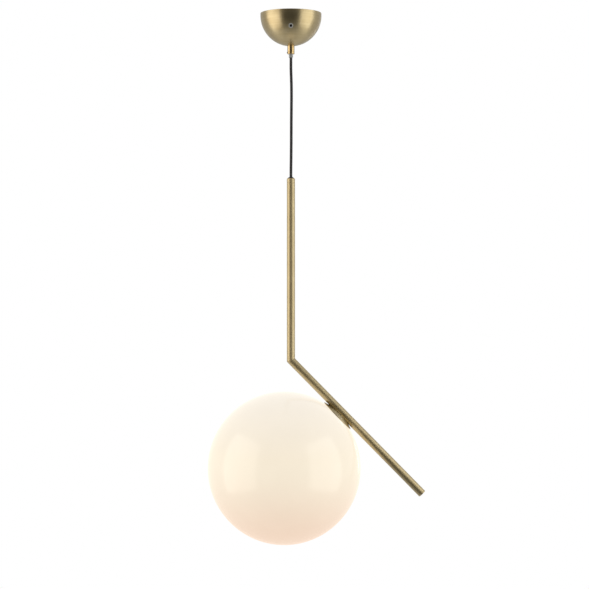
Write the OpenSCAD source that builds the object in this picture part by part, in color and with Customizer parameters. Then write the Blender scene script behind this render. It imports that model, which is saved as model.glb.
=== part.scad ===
// Pendant ceiling light: a half-ball canopy, a cord, a tube bent to one side and an opal glass globe
// that touches the tube at a shallow cap. The origin is on the ceiling, on the canopy's axis.
// The arm leans down to +X. The side screws of the canopy face -Y and +Y.

/* [Ceiling bracket] */
// Width of the bracket's strap
strap_w = 16; // [12:1:20]
// Thickness of the bracket's sheet
strap_t = 2; // [1.5:0.5:3]
// Distance between the two fixing slots
slot_spacing = 46; // [40:1:50]
// Length of each fixing slot, end to end
slot_len = 12; // [8:1:14]
// Width of each fixing slot
slot_w = 4.5; // [3.5:0.5:5.5]
// Diameter of the hole for the supply wires
supply_hole_d = 12; // [8:1:16]

/* [Canopy] */
// Outside diameter of the canopy
canopy_d = 120; // [100:1:160]
// Thickness of the canopy's wall
canopy_wall = 1.5; // [1:0.1:2.5]
// Height of the straight lip above the half ball
canopy_lip = 4; // [2:0.5:8]
// Drop of the side screws below the ceiling
side_screw_drop = 32; // [24:0.5:36]
// Diameter of the bush that holds each side screw
side_bush_d = 9; // [8:0.5:12]
// Diameter of each side screw
side_screw_d = 5; // [4:0.5:6]

/* [Cord grip] */
// Diameter of the cord
cord_d = 5.5; // [4.5:0.1:6.6]
// Diameter of the cord grip's collar
collar_d = 14; // [13:0.5:20]
// Length of the collar below the canopy
collar_len = 16; // [13:0.5:24]
// Thread diameter of the cord grip and of the hollow nipple
thread_d = 10; // [9:0.5:12]
// Wall of the clear sleeve around the cord
sleeve_wall = 1.2; // [0.8:0.1:1.5]
// Length of sleeve that shows below the collar
sleeve_out = 7; // [4:0.5:12]
// Diameter of the set screw in the collar
set_screw_d = 3; // [2:0.5:4]

/* [Wiring] */
// Diameter of one insulated core
core_d = 1.8; // [1.4:0.1:2]
// Size of the terminal block along X, Y and Z
terminal_size = [16, 30, 12]; // [8:1:40]

/* [Stem and arm] */
// Outside diameter of the stem and the arm
tube_d = 16; // [14:0.5:20]
// Wall of the stem and the arm
tube_wall = 1.3; // [1:0.1:1.5]
// Length from the top of the stem to the bend
stem_len = 357; // [200:1:600]
// Length from the bend to the end of the arm
arm_len = 368; // [250:1:500]
// Angle of the arm below level
arm_angle = 45.5; // [35:0.5:60]
// Height of the screwed cap on the stem
stem_cap_h = 9; // [6:0.5:15]
// Height of the domed bush above the stem
bush_h = 3.5; // [2:0.5:5]

/* [Globe] */
// Outside diameter of the globe
globe_d = 300; // [240:5:400]
// Thickness of the glass
glass_wall = 3.5; // [2.5:0.1:5]
// Diameter of the globe's mouth
mouth_d = 66; // [60:1:68]
// Distance from the bend to the globe's cap, along the arm
globe_along = 142; // [100:1:200]

/* [Fitter] */
// Diameter of the shallow cap over the globe's mouth
fitter_d = 73; // [72:0.5:90]
// Height of the cap's crown above the ball of the globe
fitter_rise = 3.5; // [3:0.1:8]
// Thickness of the cap
fitter_wall = 1.2; // [1:0.1:1.5]
// Number of spring clips that hold the globe
clip_count = 3; // [3:1:6]
// Width of each clip
clip_w = 8; // [5:1:12]

/* [Lampholder and lamp] */
// Outside diameter of the lampholder
holder_d = 37; // [36:0.5:42]
// Length of the lampholder's sleeve
holder_len = 28; // [24:1:34]
// Diameter over the lamp's screw cap
lamp_cap_d = 26.4; // [26:0.1:26.8]
// Diameter of the lamp's ball
lamp_d = 45; // [40:1:60]
// Overall length of the lamp
lamp_len = 78; // [74:1:95]

/* [Hidden] */
$fn = 96;

// Gap between two pieces that move past each other
move_gap = 0.3;
// Gap between a round piece and the hole it sits in, all round
fit_gap = 0.05;
// Overshoot of a cut past the face that it goes through
cut = 1;

canopy_r = canopy_d / 2;
canopy_bottom_z = -canopy_lip - canopy_r;
tube_r = tube_d / 2;
tube_in_r = tube_r - tube_wall;
thread_r = thread_d / 2;
cord_r = cord_d / 2;

// Radius of the canopy's ball, less a depth, at a drop below the ceiling
function canopy_r_at(drop, depth) = sqrt(pow(canopy_r - depth, 2) - pow(max(drop - canopy_lip, 0), 2));

// The bracket's legs end below the side screws and keep clear of the bowl as it slides down
leg_drop = side_screw_drop + side_screw_d / 2 + 2.5;
leg_gap = 2.5;
leg_y = sqrt(pow(canopy_r_at(leg_drop, canopy_wall), 2) - pow(strap_w / 2, 2)) - leg_gap;
hub_r = supply_hole_d / 2 + 9;
side_screw_y = canopy_r_at(side_screw_drop, 0);
side_bush_len = side_screw_y - leg_y - 2;
side_screw_depth = 1.5;
socket_depth = 2;

// The cord grip's nut and washers stand on the inside of the bowl
washer_d = thread_d + 8;
washer_h = 1;
tag_h = 0.8;
nut_h = 3;
nut_across = thread_d + 4;
seat_z = -canopy_lip - sqrt(pow(canopy_r - canopy_wall, 2) - pow(washer_d / 2, 2));
tag_z = seat_z + washer_h;
nut_z = tag_z + tag_h;
gland_top_z = nut_z + nut_h + 2;
collar_bottom_z = canopy_bottom_z - collar_len;
sleeve_r = cord_r + fit_gap + sleeve_wall;
sleeve_in = 8;
sleeve_bottom_z = collar_bottom_z - sleeve_out;
set_screw_z = collar_bottom_z + set_screw_d;
set_screw_out = 0.9;

// The cord bends at two pivots, a short length apart, just below the sleeve
neck_len = 12;
neck_z = sleeve_bottom_z - 6;
cord_start_z = neck_z - neck_len - cord_r - fit_gap;
cord_top_z = gland_top_z + 5;

// Route of the hanging cord, from its second pivot down to the stem
CORD_POINTS = [
    [0, 0, 0], [0.3, 0, -12], [0.7, 0, -24], [1, 0, -36], [1.1, 0, -48], [1.1, 0, -60],
    [1, 0, -72], [0.9, 0, -84], [0.8, 0, -96], [0.7, 0, -108], [0.7, 0, -120], [0.6, 0, -132],
    [0.6, 0, -144], [0.5, 0, -156], [0.4, 0, -168], [0.3, 0, -180], [0.1, 0, -193], [0, 0, -204],
    [0, 0, -213]
];
cord_end_z = cord_start_z + CORD_POINTS[len(CORD_POINTS) - 1][2];

bush_top_z = cord_end_z - fit_gap;
stem_top_z = bush_top_z - bush_h;
bush_shank = 6;
spigot_len = 14;
stop_len = 10;
stem_cap_bottom_z = stem_top_z - stem_cap_h;
spigot_bottom_z = stem_cap_bottom_z - spigot_len;
cord_bottom_z = spigot_bottom_z - stop_len - 3;
bend_z = stem_top_z - stem_len;

// Directions along the arm and from the globe's centre to its cap
ALONG = [cos(arm_angle), 0, -sin(arm_angle)];
OUT = [sin(arm_angle), 0, cos(arm_angle)];
globe_r = globe_d / 2;
mouth_r = mouth_d / 2;
arm_h = globe_r + tube_r;
BEND = [0, 0, bend_z];
GLOBE = BEND + globe_along * ALONG - arm_h * OUT;

// Height above the globe's centre of a ball of radius r at distance x from the axis
function ball_h(r, x) = sqrt(r * r - x * x);

fitter_r = fitter_d / 2;
fitter_gap = 0.4;
fitter_rim_h = ball_h(globe_r, fitter_r) + fitter_gap + fitter_wall;
fitter_top_h = globe_r + fitter_rise;
fitter_bow = fitter_top_h - fitter_rim_h;
fitter_ball_r = (fitter_r * fitter_r + fitter_bow * fitter_bow) / (2 * fitter_bow);
fitter_ball_h = fitter_top_h - fitter_ball_r;

// The globe's ring lines the mouth, and its lip inside the glass carries the globe
ring_wall = 2.6;
ring_skirt = 12;
ring_r = mouth_r - fit_gap;
ring_in_r = ring_r - ring_wall;
ring_lip = 1.7;
ring_lip_h = 2;
lip_top_h = ball_h(globe_r - glass_wall, mouth_r + ring_lip) - fit_gap;
ring_top_h = ball_h(globe_r, mouth_r) - 0.6;
ring_bottom_h = lip_top_h - ring_skirt;

// The clip plate sits level with the ring, between two nuts on the nipple
clip_t = 0.6;
clip_r = ball_h(ring_in_r - move_gap, clip_w / 2);
clip_bottom_h = ring_bottom_h + 3;
plate_t = 1.2;
plate_h = ring_top_h - 3;
plate_r = clip_r - clip_t - 0.4;
nipple_top_h = arm_h - tube_in_r + 1.5;
nipple_wall = 1.4;
nipple_bottom_h = plate_h - nut_h - 12;

// The lampholder hangs on the nipple, and the lamp's cap screws into its shell
holder_r = holder_d / 2;
holder_wall = 1.6;
holder_neck_h = 8;
holder_shoulder_h = 6;
holder_skirt_h = 10;
holder_top_h = nipple_bottom_h + holder_neck_h;
shoulder_h = nipple_bottom_h - holder_shoulder_h;
skirt_bottom_h = shoulder_h - holder_skirt_h;
sleeve_top_h = skirt_bottom_h + 4;
holder_bottom_h = sleeve_top_h - holder_len;
base_t = 4;
base_top_h = sleeve_top_h + base_t;
lamp_cap_r = lamp_cap_d / 2;
shell_in_r = lamp_cap_r + 0.4;
shell_t = 0.5;
shell_len = 20;
contact_t = 0.6;
contact_drop = 3;
lamp_top_h = sleeve_top_h - contact_drop - contact_t - move_gap;
lamp_tip_len = 4;
lamp_cap_len = 21;
lamp_r = lamp_d / 2;
lamp_ball_h = lamp_top_h - lamp_len + lamp_r;
lamp_neck_h = lamp_top_h - lamp_tip_len - lamp_cap_len;
lamp_neck_r = lamp_cap_r - 0.2;
lamp_wall = 1;
lamp_shoulder_r = 0.85 * lamp_r;

// Where the terminal block and the leads in the canopy are
terminal_z = canopy_bottom_z + 39;
terminal_x = 20;
way_pitch = 9;
terminal_in_x = terminal_x - terminal_size[0] / 2;
terminal_out_x = terminal_x + terminal_size[0] / 2;
tag_reach = washer_d / 2 + 3;
core_ring_r = core_d * 0.62;

// A point on the arm: distance from the bend, distance to the side, height above the arm's axis
function on_arm(a, y, h) = BEND + a * ALONG + [0, y, 0] + h * OUT;

function unit(v) = v / norm(v);

// The points of a line through p, with each corner rounded over a length r by n steps
function rounded(p, r, n) = [
    p[0],
    for (i = [1:len(p) - 2])
        for (k = [0:n])
            corner(p[i] + r * unit(p[i - 1] - p[i]), p[i], p[i] + r * unit(p[i + 1] - p[i]), k / n),
    p[len(p) - 1]
];
function corner(a, b, c, t) = a * pow(1 - t, 2) + 2 * b * t * (1 - t) + c * t * t;

function along_line(p, i) = unit(p[min(i + 1, len(p) - 1)] - p[max(i - 1, 0)]);
function ring_of(p, i, r, sides) =
    let (t = along_line(p, i), a = unit(cross([0, 1, 0], t)), b = cross(t, a))
    [for (k = [0:sides - 1]) p[i] + r * (cos(360 * k / sides) * a + sin(360 * k / sides) * b)];

// A round tube of diameter d along the points p
module tube_along(p, d, sides = 8) {
    last = len(p) - 1;
    points = [for (i = [0:last]) each ring_of(p, i, d / 2, sides)];
    walls = [
        for (i = [0:last - 1])
            for (k = [0:sides - 1])
                let (m = (k + 1) % sides, a = i * sides, b = a + sides)
                each [[a + k, b + k, b + m], [a + k, b + m, a + m]]
    ];
    ends = [
        [for (k = [0:sides - 1]) k],
        [for (k = [sides - 1:-1:0]) last * sides + k]
    ];
    polyhedron(points, concat(walls, ends));
}

// Children stand on the globe's centre, with +Z to the globe's cap and +X along the arm
module on_globe() {
    translate(GLOBE) rotate([0, arm_angle, 0]) children();
}

// A washer, tube or disc from height low to height high
module ring(low, high, r, bore_r) {
    difference() {
        translate([0, 0, low]) cylinder(h = high - low, r = r);
        translate([0, 0, low - cut]) cylinder(h = high - low + 2 * cut, r = bore_r);
    }
}

module hex_nut(low, across, h, bore_r) {
    difference() {
        translate([0, 0, low]) cylinder(h = h, r = across / sqrt(3), $fn = 6);
        translate([0, 0, low - cut]) cylinder(h = h + 2 * cut, r = bore_r);
    }
}

// A cylinder that points to -Y from y = near to y = far, at the height of the side screws
module side_pin(near, far, r, sides = 96) {
    translate([0, -near, -side_screw_drop]) rotate([90, 0, 0]) cylinder(h = far - near, r = r, $fn = sides);
}

module front_and_back() {
    for (turn = [0, 180]) rotate([0, 0, turn]) children();
}

module slot() {
    reach = (slot_len - slot_w) / 2;
    for (y = [-reach, reach]) translate([0, y, -strap_t - cut]) cylinder(h = strap_t + 2 * cut, d = slot_w);
    translate([-slot_w / 2, -reach, -strap_t - cut]) cube([slot_w, 2 * reach, strap_t + 2 * cut]);
}

module ceiling_bracket() {
    color("silver") difference() {
        union() {
            translate([-strap_w / 2, -leg_y, -strap_t]) cube([strap_w, 2 * leg_y, strap_t]);
            translate([0, 0, -strap_t]) cylinder(h = strap_t, r = hub_r);
            front_and_back()
                translate([-strap_w / 2, -leg_y, -leg_drop]) cube([strap_w, strap_t, leg_drop]);
        }
        translate([0, 0, -strap_t - cut]) cylinder(h = strap_t + 2 * cut, d = supply_hole_d);
        for (y = [-slot_spacing / 2, slot_spacing / 2]) translate([0, y, 0]) slot();
    }
}

// The half ball and its lip, less a depth all round
module bowl(depth) {
    translate([0, 0, -canopy_lip]) sphere(r = canopy_r - depth);
    translate([0, 0, -canopy_lip]) cylinder(h = canopy_lip + cut, r = canopy_r - depth);
}

module canopy() {
    color("darkgoldenrod") difference() {
        bowl(0);
        bowl(canopy_wall);
        translate([-canopy_d, -canopy_d, 0]) cube([2 * canopy_d, 2 * canopy_d, 2 * canopy_d]);
        translate([0, 0, canopy_bottom_z - cut]) cylinder(h = canopy_r / 2, r = thread_r + fit_gap);
        front_and_back() side_pin(leg_y, canopy_r, side_bush_d / 2);
    }
}

module canopy_bushes() {
    color("silver") front_and_back() difference() {
        intersection() {
            side_pin(side_screw_y - side_bush_len, canopy_r, side_bush_d / 2);
            bowl(-0.4);
        }
        side_pin(leg_y, canopy_r, side_screw_d / 2 + fit_gap);
    }
}

module canopy_grub_screws() {
    color("dimgray") front_and_back() difference() {
        side_pin(leg_y + fit_gap, side_screw_y - side_screw_depth, side_screw_d / 2);
        side_pin(side_screw_y - side_screw_depth - socket_depth, canopy_r, side_screw_d * 0.29, 6);
    }
}

module gland_collar() {
    color("gold") difference() {
        union() {
            translate([0, 0, collar_bottom_z]) cylinder(h = collar_len + cut, d = collar_d);
            translate([0, 0, canopy_bottom_z - cut]) cylinder(h = gland_top_z - canopy_bottom_z + cut, r = thread_r);
        }
        intersection() {
            ring(canopy_bottom_z - cut, canopy_bottom_z + 2 * cut, collar_d, thread_r);
            translate([0, 0, -canopy_lip]) sphere(r = canopy_r);
        }
        translate([0, 0, collar_bottom_z - cut])
            cylinder(h = gland_top_z - collar_bottom_z + 2 * cut, r = cord_r + fit_gap);
        translate([0, 0, collar_bottom_z - cut]) cylinder(h = sleeve_in + cut, r = sleeve_r + fit_gap);
        translate([0, 0, set_screw_z]) rotate([0, -90, 0]) cylinder(h = collar_d, d = set_screw_d);
    }
}

module gland_set_screw() {
    tip = sleeve_r + fit_gap;
    head = collar_d / 2 + set_screw_out;
    color("silver") difference() {
        translate([-tip, 0, set_screw_z]) rotate([0, -90, 0]) cylinder(h = head - tip, d = set_screw_d);
        translate([-head + 0.8, 0, set_screw_z]) rotate([0, -90, 0]) cylinder(h = 2, d = set_screw_d * 0.55, $fn = 6);
    }
}

module gland_sleeve() {
    color("white", 0.5) ring(sleeve_bottom_z, collar_bottom_z + sleeve_in, sleeve_r, cord_r + fit_gap);
}

module gland_washer() {
    color("silver") ring(seat_z, seat_z + washer_h, washer_d / 2, thread_r + fit_gap);
}

module earth_tag() {
    color("gold") difference() {
        union() {
            translate([0, 0, tag_z]) cylinder(h = tag_h, r = thread_r + 2.5);
            translate([0, -2.5, tag_z]) cube([tag_reach, 5, tag_h]);
        }
        translate([0, 0, tag_z - cut]) cylinder(h = tag_h + 2 * cut, r = thread_r + fit_gap);
    }
}

module gland_nut() {
    color("gold") hex_nut(nut_z, nut_across, nut_h, thread_r + fit_gap);
}

module cord_stretch(low, high) {
    color("dimgray") translate([0, 0, low]) cylinder(h = high - low, r = cord_r);
}

module cord_top() {
    cord_stretch(neck_z + cord_r + fit_gap, cord_top_z);
}

// Round ends keep the neck clear of the cord above and below as it bends
module cord_neck() {
    color("dimgray") {
        translate([0, 0, neck_z]) sphere(r = cord_r);
        translate([0, 0, neck_z - neck_len]) sphere(r = cord_r);
        translate([0, 0, neck_z - neck_len]) cylinder(h = neck_len, r = cord_r);
    }
}

module cord() {
    color("dimgray") translate([0, 0, cord_start_z]) tube_along(CORD_POINTS, cord_d, 12);
}

module cord_bottom() {
    cord_stretch(cord_bottom_z, bush_top_z);
}

// The core that goes to one way of the terminal block, from its own place in the cord
module core(way, turn) {
    start = [core_ring_r * cos(turn), core_ring_r * sin(turn), cord_top_z];
    y = way * way_pitch;
    line = [
        start,
        start + [0, 0, 6],
        [-6, y * 0.6, cord_top_z + 14],
        [-4, y, terminal_z],
        [terminal_in_x, y, terminal_z]
    ];
    tube_along(rounded(line, 3, 4), core_d);
}

module core_live() {
    color("saddlebrown") core(-1, 300);
}

module core_neutral() {
    color("royalblue") core(1, 60);
}

module core_earth() {
    color("limegreen") core(0, 180);
}

// From the tag under the nut to the earth way of the terminal block
module earth_lead() {
    start = [tag_reach - core_d, 0, tag_z + tag_h];
    line = [
        start,
        start + [0, 0, 5],
        [terminal_out_x + 7, 0, terminal_z - 16],
        [terminal_out_x + 7, 0, terminal_z],
        [terminal_out_x, 0, terminal_z]
    ];
    color("limegreen") tube_along(rounded(line, 3.5, 4), core_d);
}

module at_terminal_screws() {
    for (way = [-1:1])
        for (x = [-1, 1])
            translate([terminal_x + x * terminal_size[0] / 4, way * way_pitch, terminal_z + terminal_size[2] / 2])
                children();
}

module terminal_block() {
    color("ivory") difference() {
        translate([terminal_x, 0, terminal_z]) cube(terminal_size, center = true);
        at_terminal_screws() translate([0, 0, -4]) cylinder(h = 4 + cut, d = 3.6);
        for (y = [-way_pitch / 2, way_pitch / 2])
            translate([0, y - 0.75, terminal_z + terminal_size[2] / 2 - 3]) cube([terminal_x * 2, 1.5, 3 + cut]);
    }
}

module terminal_screws() {
    color("silver") at_terminal_screws() translate([0, 0, -4]) difference() {
        cylinder(h = 3.2, d = 3.4);
        translate([-2, -0.3, 2.4]) cube([4, 0.6, 2]);
    }
}

module stem_bush() {
    dome_r = tube_in_r;
    ball = (dome_r * dome_r + bush_h * bush_h) / (2 * bush_h);
    color("black") difference() {
        union() {
            intersection() {
                translate([0, 0, bush_top_z - ball]) sphere(r = ball);
                translate([0, 0, stem_top_z]) cylinder(h = bush_h + cut, r = dome_r);
            }
            translate([0, 0, stem_top_z - bush_shank]) cylinder(h = bush_shank + cut, r = dome_r - 2);
        }
        translate([0, 0, stem_top_z - bush_shank - cut])
            cylinder(h = bush_shank + bush_h + 2 * cut, r = cord_r + fit_gap);
    }
}

module stem_cap() {
    edge = 0.8;
    color("darkgoldenrod") difference() {
        union() {
            translate([0, 0, stem_cap_bottom_z]) cylinder(h = stem_cap_h - edge, r = tube_r);
            translate([0, 0, stem_top_z - edge]) cylinder(h = edge, r1 = tube_r, r2 = tube_r - edge);
            translate([0, 0, spigot_bottom_z]) cylinder(h = spigot_len + cut, r = tube_in_r - fit_gap);
        }
        translate([0, 0, spigot_bottom_z - cut])
            cylinder(h = spigot_len + stem_cap_h + 2 * cut, r = cord_r + fit_gap);
        translate([0, 0, stem_top_z - bush_shank]) cylinder(h = bush_shank + cut, r = tube_in_r - 2 + fit_gap);
    }
}

// A ferrule crimped on the cord below the stem's cap, which carries the light
module cord_stop() {
    color("gold") ring(spigot_bottom_z - stop_len, spigot_bottom_z, tube_in_r - 1, cord_r);
}

// Half the space at the bend: the side away from the stem, or the side away from the arm
module mitre_cut(side) {
    size = 4 * tube_d;
    translate(BEND) rotate([0, -(90 - arm_angle) / 2, 0])
        translate([-size / 2, -size / 2, side > 0 ? 0 : -size]) cube(size);
}

module stem_tube() {
    tail = 2 * tube_d;
    color("darkgoldenrod") difference() {
        ring(bend_z - tail, stem_cap_bottom_z, tube_r, tube_in_r);
        mitre_cut(-1);
    }
}

module arm_tube() {
    tail = 2 * tube_d;
    color("darkgoldenrod") difference() {
        on_globe() translate([-globe_along, 0, arm_h]) rotate([0, 90, 0]) ring(-tail, arm_len - 2, tube_r, tube_in_r);
        mitre_cut(1);
        on_globe() translate([0, 0, arm_h - tube_d]) cylinder(h = tube_d, r = thread_r + fit_gap);
    }
}

module arm_end_cap() {
    color("darkgoldenrod") on_globe() translate([arm_len - globe_along, 0, arm_h]) rotate([0, -90, 0]) {
        cylinder(h = 0.5, r1 = tube_r - 0.5, r2 = tube_r);
        translate([0, 0, 0.5]) cylinder(h = 1.5, r = tube_r);
        translate([0, 0, 2]) cylinder(h = 5, r = tube_in_r - fit_gap);
    }
}

// One lead from the cord's end down the stem, along the arm and through the nipple
module lead(turn) {
    c = core_ring_r * cos(turn);
    s = core_ring_r * sin(turn);
    line = [
        [c, s, cord_bottom_z],
        [c, s, bend_z + c * 0.4],
        on_arm(globe_along + c, s, c),
        on_arm(globe_along + c, s, base_top_h - arm_h)
    ];
    tube_along(rounded(line, 4, 5), core_d);
}

module lead_live() {
    color("saddlebrown") lead(180);
}

module lead_neutral() {
    color("royalblue") lead(60);
}

module lead_earth() {
    color("limegreen") lead(300);
}

module fitter_cap() {
    color("darkgoldenrod") on_globe() difference() {
        intersection() {
            translate([0, 0, fitter_ball_h]) sphere(r = fitter_ball_r);
            translate([0, 0, globe_r / 2]) cylinder(h = globe_r, r = fitter_r);
        }
        translate([0, 0, fitter_ball_h]) sphere(r = fitter_ball_r - fitter_wall);
        translate([-fitter_d, 0, arm_h]) rotate([0, 90, 0]) cylinder(h = 2 * fitter_d, r = tube_r);
        translate([0, 0, globe_r / 2]) cylinder(h = globe_r, r = thread_r + fit_gap);
    }
}

module nipple() {
    color("gold") on_globe() ring(nipple_bottom_h, nipple_top_h, thread_r, thread_r - nipple_wall);
}

module nipple_nuts() {
    color("gold") on_globe() {
        hex_nut(plate_h, nut_across, nut_h, thread_r + fit_gap);
        hex_nut(plate_h - plate_t - nut_h, nut_across, nut_h, thread_r + fit_gap);
    }
}

module clip_plate() {
    color("silver") on_globe() ring(plate_h - plate_t, plate_h, plate_r, thread_r + fit_gap);
}

// Each clip is a leaf with a foot under the plate and a rolled end
module globe_clips() {
    roll_r = 1;
    color("lightgray") on_globe() for (i = [0:clip_count - 1]) rotate([0, 0, 60 + 360 * i / clip_count]) {
        translate([plate_r - 9, -clip_w / 2, plate_h - plate_t - clip_t]) cube([9 + 0.4, clip_w, clip_t]);
        translate([plate_r + 0.4 - clip_t, -clip_w / 2, clip_bottom_h])
            cube([clip_t, clip_w, plate_h - plate_t - clip_bottom_h - clip_t / 2]);
        translate([clip_r - roll_r, clip_w / 2, clip_bottom_h])
            rotate([90, 0, 0]) cylinder(h = clip_w, r = roll_r);
    }
}

// A bell shape: a neck on the nipple, a sloped shoulder and a skirt
module lampholder_cap() {
    t = holder_wall;
    neck_r = thread_r + 2.5;
    color("black") on_globe() rotate_extrude() polygon([
        [thread_r + fit_gap, holder_top_h],
        [neck_r, holder_top_h],
        [neck_r, nipple_bottom_h],
        [holder_r, shoulder_h],
        [holder_r, skirt_bottom_h],
        [holder_r - t, skirt_bottom_h],
        [holder_r - t, shoulder_h - t],
        [thread_r + fit_gap, nipple_bottom_h - t]
    ]);
}

module lampholder_sleeve() {
    color("black") on_globe() {
        r = holder_r - holder_wall - fit_gap;
        ring(holder_bottom_h, sleeve_top_h, r, shell_in_r + shell_t + fit_gap);
        ring(holder_bottom_h, skirt_bottom_h - 6, holder_r, r - fit_gap);
    }
}

module lampholder_base() {
    r = holder_r - holder_wall - fit_gap;
    color("ivory") on_globe() difference() {
        translate([0, 0, sleeve_top_h]) cylinder(h = base_t, r = r);
        for (turn = [180, 60, 300])
            translate([core_ring_r * cos(turn), core_ring_r * sin(turn), base_top_h - 2])
                cylinder(h = base_t + 2 * cut, d = core_d);
    }
}

module lampholder_shell() {
    color("gold") on_globe() ring(holder_bottom_h + 1, sleeve_top_h, shell_in_r + shell_t, shell_in_r);
}

// A tongue that drops from the base to the lamp's tip
module centre_contact() {
    color("gold") on_globe() {
        translate([-9, -2, sleeve_top_h - contact_t]) cube([6, 4, contact_t]);
        translate([-3 - contact_t, -2, lamp_top_h + move_gap])
            cube([contact_t, 4, sleeve_top_h - lamp_top_h - move_gap]);
        translate([-3, -2, lamp_top_h + move_gap]) cube([6, 4, contact_t]);
    }
}

module globe_glass() {
    color("white") on_globe() difference() {
        sphere(r = globe_r);
        sphere(r = globe_r - glass_wall);
        cylinder(h = globe_d, r = mouth_r);
    }
}

module globe_ring() {
    color("silver") on_globe() {
        ring(ring_bottom_h, ring_top_h, ring_r, ring_in_r);
        ring(lip_top_h - ring_lip_h, lip_top_h, mouth_r + ring_lip, ring_r - fit_gap);
    }
}

module lamp_cap() {
    color("silver") on_globe() ring(lamp_neck_h, lamp_top_h - lamp_tip_len, lamp_cap_r, lamp_cap_r - 0.4);
}

module lamp_contact() {
    tip_r = 4.5;
    color("black") on_globe() {
        translate([0, 0, lamp_top_h - lamp_tip_len])
            cylinder(h = lamp_tip_len - 1, r1 = lamp_cap_r - 0.4, r2 = tip_r);
        translate([0, 0, lamp_top_h - 1]) cylinder(h = 1, r = tip_r);
    }
}

// The lamp's ball and neck, less a depth all round
module lamp_form(depth) {
    neck = lamp_neck_r - depth;
    shoulder = lamp_shoulder_r - depth;
    shoulder_z = lamp_ball_h + ball_h(lamp_r, lamp_shoulder_r);
    translate([0, 0, lamp_ball_h]) sphere(r = lamp_r - depth);
    translate([0, 0, shoulder_z]) cylinder(h = lamp_neck_h - shoulder_z, r1 = shoulder, r2 = neck);
    translate([0, 0, lamp_neck_h]) cylinder(h = 4, r = neck - 0.4);
}

module lamp_bulb() {
    color("white") on_globe() difference() {
        lamp_form(0);
        lamp_form(lamp_wall);
        translate([0, 0, lamp_neck_h]) cylinder(h = 4 + cut, r = lamp_neck_r - lamp_wall - 0.4);
    }
}

ceiling_bracket();
canopy();
canopy_bushes();
canopy_grub_screws();
gland_collar();
gland_washer();
gland_nut();
gland_set_screw();
gland_sleeve();
earth_tag();
cord_top();
core_live();
core_neutral();
core_earth();
earth_lead();
terminal_block();
terminal_screws();
cord_neck();
cord();
cord_bottom();
stem_bush();
stem_cap();
cord_stop();
stem_tube();
arm_tube();
arm_end_cap();
lead_live();
lead_neutral();
lead_earth();
fitter_cap();
nipple();
nipple_nuts();
clip_plate();
globe_clips();
lampholder_cap();
lampholder_sleeve();
lampholder_base();
lampholder_shell();
centre_contact();
globe_glass();
globe_ring();
lamp_cap();
lamp_contact();
lamp_bulb();
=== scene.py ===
# A pendant ceiling light on a plain stage: half-ball canopy, cord, bent brass stem and arm, opal globe.
# The origin is on the ceiling, on the canopy's axis. The arm leans down to +X.

import math

import bmesh
import bpy
from bpy.props import FloatProperty, FloatVectorProperty, IntProperty, PointerProperty, StringProperty
from mathutils import Matrix, Vector


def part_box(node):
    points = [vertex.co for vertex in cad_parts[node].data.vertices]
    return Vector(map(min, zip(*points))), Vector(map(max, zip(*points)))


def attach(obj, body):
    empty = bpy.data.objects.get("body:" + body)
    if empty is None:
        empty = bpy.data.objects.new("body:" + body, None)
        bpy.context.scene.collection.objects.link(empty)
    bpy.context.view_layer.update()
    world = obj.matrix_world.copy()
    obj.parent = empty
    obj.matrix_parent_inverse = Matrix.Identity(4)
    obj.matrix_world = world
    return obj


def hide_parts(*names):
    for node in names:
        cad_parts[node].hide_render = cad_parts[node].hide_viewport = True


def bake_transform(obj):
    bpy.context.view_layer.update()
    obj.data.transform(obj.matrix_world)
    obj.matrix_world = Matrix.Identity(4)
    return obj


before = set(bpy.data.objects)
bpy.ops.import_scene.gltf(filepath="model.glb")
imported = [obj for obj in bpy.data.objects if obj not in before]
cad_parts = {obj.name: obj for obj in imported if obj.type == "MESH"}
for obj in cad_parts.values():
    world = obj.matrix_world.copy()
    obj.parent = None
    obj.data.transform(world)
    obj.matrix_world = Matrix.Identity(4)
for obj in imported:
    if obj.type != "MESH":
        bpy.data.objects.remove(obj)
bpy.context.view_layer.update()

bl_info = {
    "name": "Pendant Ceiling Light",
    "version": (1, 0, 0),
    "blender": (4, 5, 0),
    "location": "View3D > Sidebar > Pendant",
    "description": "Makes the pieces of a pendant ceiling light over its CAD frame",
    "category": "Add Mesh",
}

MM = 0.001
TAU = 2 * math.pi


def corners(node):
    """Lowest and highest corner of a CAD node, in millimetres."""
    low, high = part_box(node)
    return low / MM, high / MM


def half_width(node, axis=0):
    """Half a CAD node's width, in millimetres: its radius, where it is round."""
    low, high = corners(node)
    return (high[axis] - low[axis]) / 2


def ball_h(radius, x):
    """Height of a ball's surface above its centre, at distance x from its axis."""
    return math.sqrt(radius * radius - x * x)


# Heights and radii in millimetres. Those that a piece's box shows are read from the frame.
GAP = 0.05
MOVE_GAP = 0.3
CANOPY_R = half_width("canopy")
CANOPY_LIP = 4
CANOPY_WALL = 1.5
COLLAR_BOTTOM, COLLAR_TOP = corners("gland_collar")[0].z, corners("gland_collar")[1].z
COLLAR_R = half_width("gland_collar")
THREAD_R = 5
SLEEVE_BOTTOM, SLEEVE_TOP = corners("gland_sleeve")[0].z, corners("gland_sleeve")[1].z
SLEEVE_R = half_width("gland_sleeve")
SLEEVE_IN = 8
CORD_R = half_width("cord_top")
CORD_BORE = CORD_R + GAP
CORD_TOP = corners("cord_top")[1].z
NECK_DROP = 6
NECK_LEN = 12
PIVOT_FRONT = SLEEVE_BOTTOM - NECK_DROP
PIVOT_SIDE = PIVOT_FRONT - NECK_LEN
CORD_START = PIVOT_SIDE - CORD_R - GAP
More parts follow.
